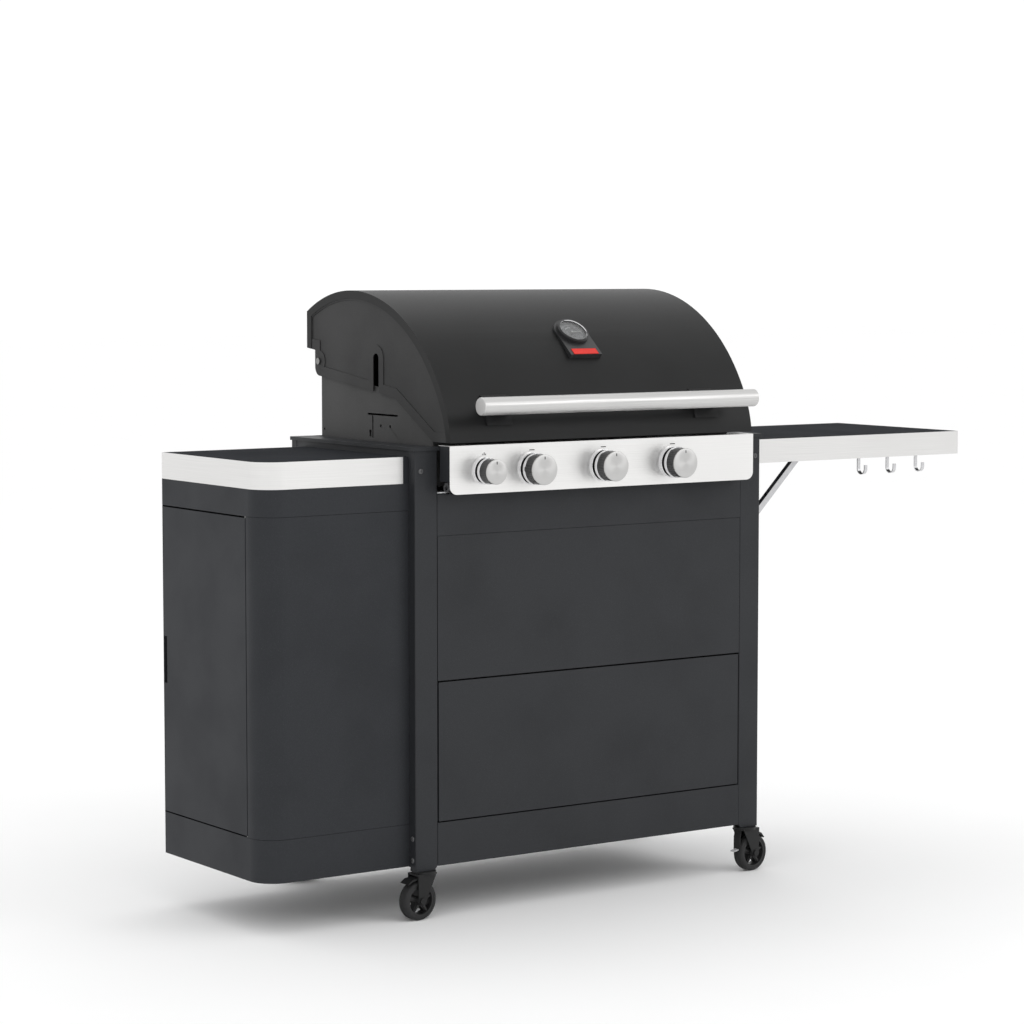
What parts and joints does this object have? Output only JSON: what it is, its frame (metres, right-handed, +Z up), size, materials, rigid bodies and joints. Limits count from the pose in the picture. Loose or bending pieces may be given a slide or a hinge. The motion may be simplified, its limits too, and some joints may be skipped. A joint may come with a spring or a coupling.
{
  "type": "gas barbecue grill",
  "caption": "Hooded gas barbecue on a closed cart with side bottle cabinet, fold-down side table, front drawer, knobs and swivel casters.",
  "frame": {"origin": "on the floor, at the middle of the whole footprint's length and depth", "axes": "+X to the right as seen by the cook, towards the fold-down table; +Y away from the cook; +Z up"},
  "size_m": [1.705, 0.584, 1.1796],
  "materials": {
    "frame_paint": "fine textured powder coat",
    "cabinet_paint": "fine textured powder coat",
    "worktop_paint": "fine textured powder coat",
    "hood_enamel": "satin porcelain enamel",
    "hood_cap_paint": "satin",
    "firebox_enamel": "matt",
    "screw_black": "satin",
    "zinc_sheet": "satin",
    "burner_steel": "satin",
    "grate_iron": "matt enamel",
    "rack_chrome": "polished",
    "gas_aluminium": "satin",
    "gas_brass": "satin",
    "panel_steel": "brushed",
    "bezel_chrome": "polished",
    "screw_steel": "satin",
    "handle_steel": "brushed",
    "bracket_black": "satin",
    "gauge_plastic": "satin",
    "gauge_face": "printed",
    "needle_paint": "satin",
    "gauge_window": "clear",
    "band_steel": "brushed",
    "strut_steel": "satin",
    "hook_steel": "satin",
    "caster_black": "satin",
    "wheel_nylon": "moulded",
    "pedal_black": "satin",
    "knob_steel": "brushed face, black grip",
    "stem_steel": "machined"
  },
  "bodies": {
    "cart": {"base_shelf": "frame_paint", "burners": "burner_steel", "cabinet_panels": "cabinet_paint", "cart_panels": "frame_paint", "caster_mounts": "caster_black", "control_box": "frame_paint", "control_panel": "panel_steel", "cooking_grates": "grate_iron", "firebox_ends": "firebox_enamel", "firebox_shell": "firebox_enamel", "flame_tamers": "burner_steel", "frame_screws": "screw_black", "front_rails": "frame_paint", "gas_manifold": "gas_aluminium", "gas_valves": "gas_brass", "hinge_pins": "screw_steel", "knob_bezels": "bezel_chrome", "legs": "frame_paint", "rear_burner": "burner_steel", "slide_rails": "zinc_sheet", "table_brackets": "bracket_black", "top_rim": "frame_paint", "upper_front_panel": "frame_paint", "warming_rack": "rack_chrome", "worktop": "worktop_paint", "worktop_band": "band_steel"},
    "hood": {"hood_shell": "hood_enamel", "hood_caps": "hood_cap_paint", "handle_bar": "handle_steel", "handle_brackets": "bracket_black", "gauge_housing": "gauge_plastic", "gauge_dial": "gauge_face", "gauge_glass": "gauge_window"},
    "gauge_needle": {"gauge_needle": "needle_paint"},
    "cabinet_door": {"cabinet_door": "cabinet_paint"},
    "drawer": {"drawer_front": "frame_paint", "drawer_tray": "zinc_sheet"},
    "grease_tray": {"grease_tray": "zinc_sheet"},
    "table": {"table_top": "worktop_paint", "table_band": "band_steel", "table_hooks": "hook_steel"},
    "table_strut": {"table_strut": "strut_steel"},
    "stem_1": {"valve_stem_1": "stem_steel"},
    "knob_1": {"knob_1": "knob_steel"},
    "stem_2": {"valve_stem_2": "stem_steel"},
    "knob_2": {"knob_2": "knob_steel"},
    "stem_3": {"valve_stem_3": "stem_steel"},
    "knob_3": {"knob_3": "knob_steel"},
    "stem_4": {"valve_stem_4": "stem_steel"},
    "knob_4": {"knob_4": "knob_steel"},
    "fork_front_left": {"caster_fork_front_left": "caster_black"},
    "wheel_front_left": {"caster_wheel_front_left": "wheel_nylon"},
    "fork_front_right": {"caster_fork_front_right": "caster_black"},
    "wheel_front_right": {"caster_wheel_front_right": "wheel_nylon"},
    "fork_rear_left": {"caster_fork_rear_left": "caster_black"},
    "wheel_rear_left": {"caster_wheel_rear_left": "wheel_nylon"},
    "fork_rear_right": {"caster_fork_rear_right": "caster_black"},
    "wheel_rear_right": {"caster_wheel_rear_right": "wheel_nylon"},
    "pedal_front_left": {"brake_pedal_front_left": "pedal_black"},
    "pedal_front_right": {"brake_pedal_front_right": "pedal_black"}
  },
  "joints": [
    {"name": "hood_hinge", "type": "hinge", "parent": "cart", "child": "hood", "pos_m": [-0.1255, 0.2475, 1.039], "axis": [-1, 0, 0], "range_deg": [0, 95]},
    {"name": "needle_turn", "type": "hinge", "parent": "hood", "child": "gauge_needle", "pos_m": [-0.1255, -0.10981, 1.09412], "axis": [0, 0.6408, -0.7677], "range_deg": [0, 250]},
    {"name": "door_hinge", "type": "hinge", "parent": "cart", "child": "cabinet_door", "pos_m": [-0.8485, -0.099, 0.476], "axis": [0, 0, 1], "range_deg": [0, 110]},
    {"name": "drawer_slide", "type": "slide", "parent": "cart", "child": "drawer", "axis": [0, -1, 0], "range_m": [0, 0.36]},
    {"name": "grease_tray_slide", "type": "slide", "parent": "cart", "child": "grease_tray", "axis": [0, 1, 0], "range_m": [0, 0.3]},
    {"name": "table_fold", "type": "hinge", "parent": "cart", "child": "table", "pos_m": [0.2945, 0.031, 0.834], "axis": [0, 1, 0], "range_deg": [0, 90]},
    {"name": "strut_swing", "type": "hinge", "parent": "cart", "child": "table_strut", "pos_m": [0.2945, 0.031, 0.699], "axis": [0, 1, 0], "range_deg": [0, 135]},
    {"name": "knob_1_push", "type": "slide", "parent": "cart", "child": "stem_1", "axis": [0, 1, 0], "range_m": [0, 0.0035], "stiffness_N_per_m": 900, "springref_m": -0.003},
    {"name": "knob_1_turn", "type": "hinge", "parent": "stem_1", "child": "knob_1", "pos_m": [-0.4105, -0.247, 0.8455], "axis": [0, -1, 0], "range_deg": [0, 160]},
    {"name": "knob_2_push", "type": "slide", "parent": "cart", "child": "stem_2", "axis": [0, 1, 0], "range_m": [0, 0.0035], "stiffness_N_per_m": 900, "springref_m": -0.003},
    {"name": "knob_2_turn", "type": "hinge", "parent": "stem_2", "child": "knob_2", "pos_m": [-0.3015, -0.247, 0.8455], "axis": [0, -1, 0], "range_deg": [0, 160]},
    {"name": "knob_3_push", "type": "slide", "parent": "cart", "child": "stem_3", "axis": [0, 1, 0], "range_m": [0, 0.0035], "stiffness_N_per_m": 900, "springref_m": -0.003},
    {"name": "knob_3_turn", "type": "hinge", "parent": "stem_3", "child": "knob_3", "pos_m": [-0.134, -0.247, 0.8455], "axis": [0, -1, 0], "range_deg": [0, 160]},
    {"name": "knob_4_push", "type": "slide", "parent": "cart", "child": "stem_4", "axis": [0, 1, 0], "range_m": [0, 0.0035], "stiffness_N_per_m": 900, "springref_m": -0.003},
    {"name": "knob_4_turn", "type": "hinge", "parent": "stem_4", "child": "knob_4", "pos_m": [0.0335, -0.247, 0.8455], "axis": [0, -1, 0], "range_deg": [0, 160]},
    {"name": "swivel_front_left", "type": "hinge", "parent": "cart", "child": "fork_front_left", "pos_m": [-0.5135, -0.177, 0.087], "axis": [0, 0, 1], "continuous": true},
    {"name": "roll_front_left", "type": "hinge", "parent": "fork_front_left", "child": "wheel_front_left", "pos_m": [-0.52943, -0.17851, 0.0375], "axis": [0.0941, -0.9956, 0], "continuous": true},
    {"name": "swivel_front_right", "type": "hinge", "parent": "cart", "child": "fork_front_right", "pos_m": [0.2625, -0.177, 0.087], "axis": [0, 0, 1], "continuous": true},
    {"name": "roll_front_right", "type": "hinge", "parent": "fork_front_right", "child": "wheel_front_right", "pos_m": [0.27841, -0.17533, 0.0375], "axis": [-0.1045, 0.9945, 0], "continuous": true},
    {"name": "swivel_rear_left", "type": "hinge", "parent": "cart", "child": "fork_rear_left", "pos_m": [-0.5135, 0.253, 0.087], "axis": [0, 0, 1], "continuous": true},
    {"name": "roll_rear_left", "type": "hinge", "parent": "fork_rear_left", "child": "wheel_rear_left", "pos_m": [-0.52926, 0.25578, 0.0375], "axis": [-0.1736, -0.9848, 0], "continuous": true},
    {"name": "swivel_rear_right", "type": "hinge", "parent": "cart", "child": "fork_rear_right", "pos_m": [0.2625, 0.253, 0.087], "axis": [0, 0, 1], "continuous": true},
    {"name": "roll_rear_right", "type": "hinge", "parent": "fork_rear_right", "child": "wheel_rear_right", "pos_m": [0.27712, 0.25951, 0.0375], "axis": [-0.4067, 0.9135, 0], "continuous": true},
    {"name": "pedal_front_left", "type": "hinge", "parent": "fork_front_left", "child": "pedal_front_left", "pos_m": [-0.53441, -0.17898, 0.08], "axis": [0.0941, -0.9956, 0], "range_deg": [0, 15]},
    {"name": "pedal_front_right", "type": "hinge", "parent": "fork_front_right", "child": "pedal_front_right", "pos_m": [0.28338, -0.1748, 0.08], "axis": [-0.1045, 0.9945, 0], "range_deg": [-15, 0]}
  ],
  "couplings": [
    {"joint": "strut_swing", "follows": "table_fold", "ratio": 1.5}
  ]
}
